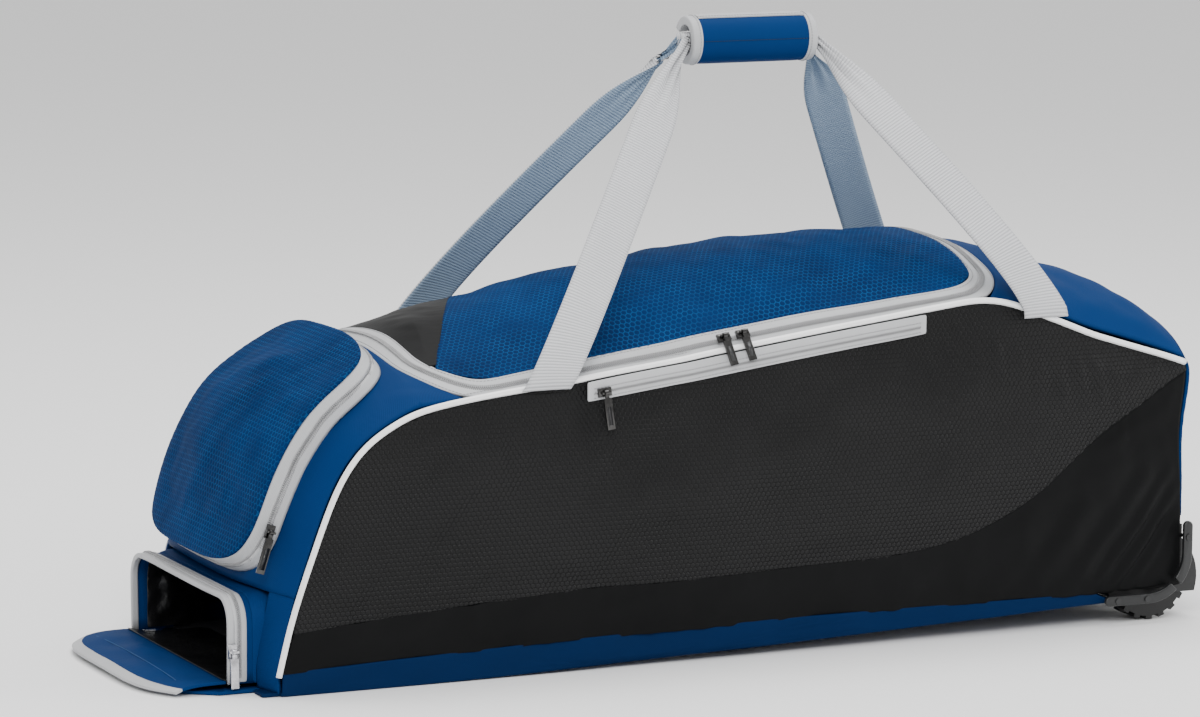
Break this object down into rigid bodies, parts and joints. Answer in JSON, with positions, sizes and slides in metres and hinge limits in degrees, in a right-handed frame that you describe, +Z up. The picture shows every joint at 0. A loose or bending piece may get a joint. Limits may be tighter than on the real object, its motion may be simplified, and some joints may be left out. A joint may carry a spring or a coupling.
{
  "type": "wheeled equipment bag",
  "caption": "Long soft equipment bag with corner wheels, zipped top lid, zipped end pocket, full-length bottom sleeve and two webbing handles joined by a padded grip.",
  "frame": {"origin": "middle of the whole bag's footprint, on the floor", "axes": "+X along the bag towards the wheels, -Y the panelled near side, +Z up"},
  "size_m": [0.9929, 0.3347, 0.5458],
  "materials": {
    "shell_blue": "plain woven polyester, blue",
    "dobby_blue": "blue dobby weave with fine hexagons",
    "embossed_black": "black fabric embossed with hexagons",
    "coated_black": "plain coated black fabric",
    "zip_tape": "silver grey woven zip tape and binding",
    "piping_white": "white covered cord",
    "webbing": "light grey ribbed webbing",
    "lining": "glossy black nylon",
    "board": "stiff polyethylene board",
    "pad_grey": "padded divider",
    "wheel_rubber": "black moulded tread",
    "hub_plastic": "dark grey plastic",
    "housing_plastic": "black moulded plastic",
    "rail_plastic": "dark grey moulded plastic",
    "steel": "zinc plated steel",
    "gunmetal": "black nickel",
    "bright_zinc": "bright plated zinc",
    "hook_loop": "hook and loop tape"
  },
  "bodies": {
    "root": {"base_panel": "shell_blue", "base_board": "board", "side_panel_near": "embossed_black", "side_panel_far": "embossed_black", "kick_panel_near": "coated_black", "kick_panel_far": "coated_black", "end_panel": "shell_blue", "mouth_gusset_near": "shell_blue", "mouth_gusset_far": "shell_blue", "top_panel": "shell_blue", "rear_panel": "shell_blue", "boot_panel": "coated_black", "hinge_rim": "shell_blue", "piping_near": "piping_white", "piping_far": "piping_white", "main_tape_body": "zip_tape", "side_pocket_tape": "zip_tape", "side_pocket_bag": "lining", "pocket_tape_body": "zip_tape", "mouth_hood": "shell_blue", "mouth_tape": "zip_tape", "sleeve_lining": "lining", "divider_panel": "pad_grey", "haul_handle": "shell_blue", "anchor_patches": "coated_black", "wheel_housing_near": "housing_plastic", "wheel_housing_far": "housing_plastic", "skid_rail_near": "rail_plastic", "skid_rail_far": "rail_plastic", "axle_pins": "steel", "housing_screws": "steel"},
    "lid": {"lid_panel": "dobby_blue", "lid_end_panel": "coated_black", "lid_tape": "zip_tape"},
    "end_pocket_door": {"pocket_door": "dobby_blue", "pocket_tape_door": "zip_tape"},
    "sleeve_flap": {"bat_flap": "shell_blue", "flap_tape": "zip_tape"},
    "near_handle": {"near_strap": "webbing", "grip_wrap": "shell_blue", "grip_binding": "zip_tape", "grip_hook_strip": "hook_loop"},
    "far_handle": {"far_strap": "webbing"},
    "wheel_near": {"tyre_near": "wheel_rubber", "hub_near": "hub_plastic"},
    "wheel_far": {"tyre_far": "wheel_rubber", "hub_far": "hub_plastic"},
    "slider_main_left": {"main_slider_left": "gunmetal"},
    "slider_main_right": {"main_slider_right": "gunmetal"},
    "slider_side_pocket": {"side_pocket_slider": "gunmetal"},
    "slider_end_pocket": {"end_pocket_slider": "gunmetal"},
    "slider_sleeve": {"sleeve_slider": "bright_zinc"},
    "pull_main_left": {"main_pull_left": "gunmetal"},
    "pull_main_right": {"main_pull_right": "gunmetal"},
    "pull_side_pocket": {"side_pocket_pull": "gunmetal"},
    "pull_end_pocket": {"end_pocket_pull": "gunmetal"},
    "pull_sleeve": {"sleeve_pull": "bright_zinc"}
  },
  "joints": [
    {"name": "lid_hinge", "type": "hinge", "parent": "root", "child": "lid", "pos_m": [0.014, 0.1443, 0.2786], "axis": [-0.9935, 0, -0.1135], "range_deg": [0, 100]},
    {"name": "near_handle_swing", "type": "hinge", "parent": "root", "child": "near_handle", "pos_m": [-0.151, -0.1596, 0.2465], "axis": [0.9971, 0, 0.0758], "range_deg": [0, 170]},
    {"name": "far_handle_swing", "type": "hinge", "parent": "root", "child": "far_handle", "pos_m": [-0.151, 0.1596, 0.2465], "axis": [-0.9971, 0, -0.0758], "range_deg": [0, 170]},
    {"name": "end_pocket_hinge", "type": "hinge", "parent": "root", "child": "end_pocket_door", "pos_m": [-0.3451, 0.118, 0.2035], "axis": [-0.5891, 0, -0.8081], "range_deg": [0, 95]},
    {"name": "sleeve_flap_hinge", "type": "hinge", "parent": "root", "child": "sleeve_flap", "pos_m": [-0.427, 0, 0.014], "axis": [0, 1, 0], "range_deg": [0, 85]},
    {"name": "wheel_near_spin", "type": "hinge", "parent": "root", "child": "wheel_near", "pos_m": [0.45, -0.1335, 0.038], "axis": [0, 1, 0], "continuous": true},
    {"name": "wheel_far_spin", "type": "hinge", "parent": "root", "child": "wheel_far", "pos_m": [0.45, 0.1335, 0.038], "axis": [0, 1, 0], "continuous": true},
    {"name": "main_slide_left", "type": "slide", "parent": "root", "child": "slider_main_left", "axis": [-0.9919, 0, -0.1273], "range_m": [0, 0.1]},
    {"name": "main_slide_right", "type": "slide", "parent": "root", "child": "slider_main_right", "axis": [0.9919, 0, 0.1273], "range_m": [0, 0.2]},
    {"name": "side_pocket_slide", "type": "slide", "parent": "root", "child": "slider_side_pocket", "axis": [0.9919, 0, 0.1273], "range_m": [0, 0.28]},
    {"name": "end_pocket_slide", "type": "slide", "parent": "root", "child": "slider_end_pocket", "axis": [0.309, 0, 0.9511], "range_m": [0, 0.045]},
    {"name": "sleeve_slide", "type": "slide", "parent": "root", "child": "slider_sleeve", "axis": [0, 0, 1], "range_m": [0, 0.02]},
    {"name": "main_pull_left_swing", "type": "hinge", "parent": "slider_main_left", "child": "pull_main_left", "pos_m": [0.01879, -0.15419, 0.28383], "axis": [-0.9919, 0, -0.1273], "range_deg": [0, 100]},
    {"name": "main_pull_right_swing", "type": "hinge", "parent": "slider_main_right", "child": "pull_main_right", "pos_m": [0.03679, -0.15419, 0.28614], "axis": [-0.9919, 0, -0.1273], "range_deg": [0, 100]},
    {"name": "side_pocket_pull_swing", "type": "hinge", "parent": "slider_side_pocket", "child": "pull_side_pocket", "pos_m": [-0.098, -0.1655, 0.24216], "axis": [-0.9919, 0, -0.1273], "range_deg": [0, 100]},
    {"name": "end_pocket_pull_swing", "type": "hinge", "parent": "slider_end_pocket", "child": "pull_end_pocket", "pos_m": [-0.388, -0.1254, 0.135], "axis": [-0.9511, 0, 0.309], "range_deg": [0, 110]},
    {"name": "sleeve_pull_swing", "type": "hinge", "parent": "slider_sleeve", "child": "pull_sleeve", "pos_m": [-0.423, -0.1292, 0.036], "axis": [-1, 0, 0], "range_deg": [0, 120]}
  ],
  "couplings": [
    {"joint": "near_handle_swing", "follows": "lid_hinge", "ratio": 1.7},
    {"joint": "far_handle_swing", "follows": "lid_hinge", "ratio": 1.7}
  ]
}
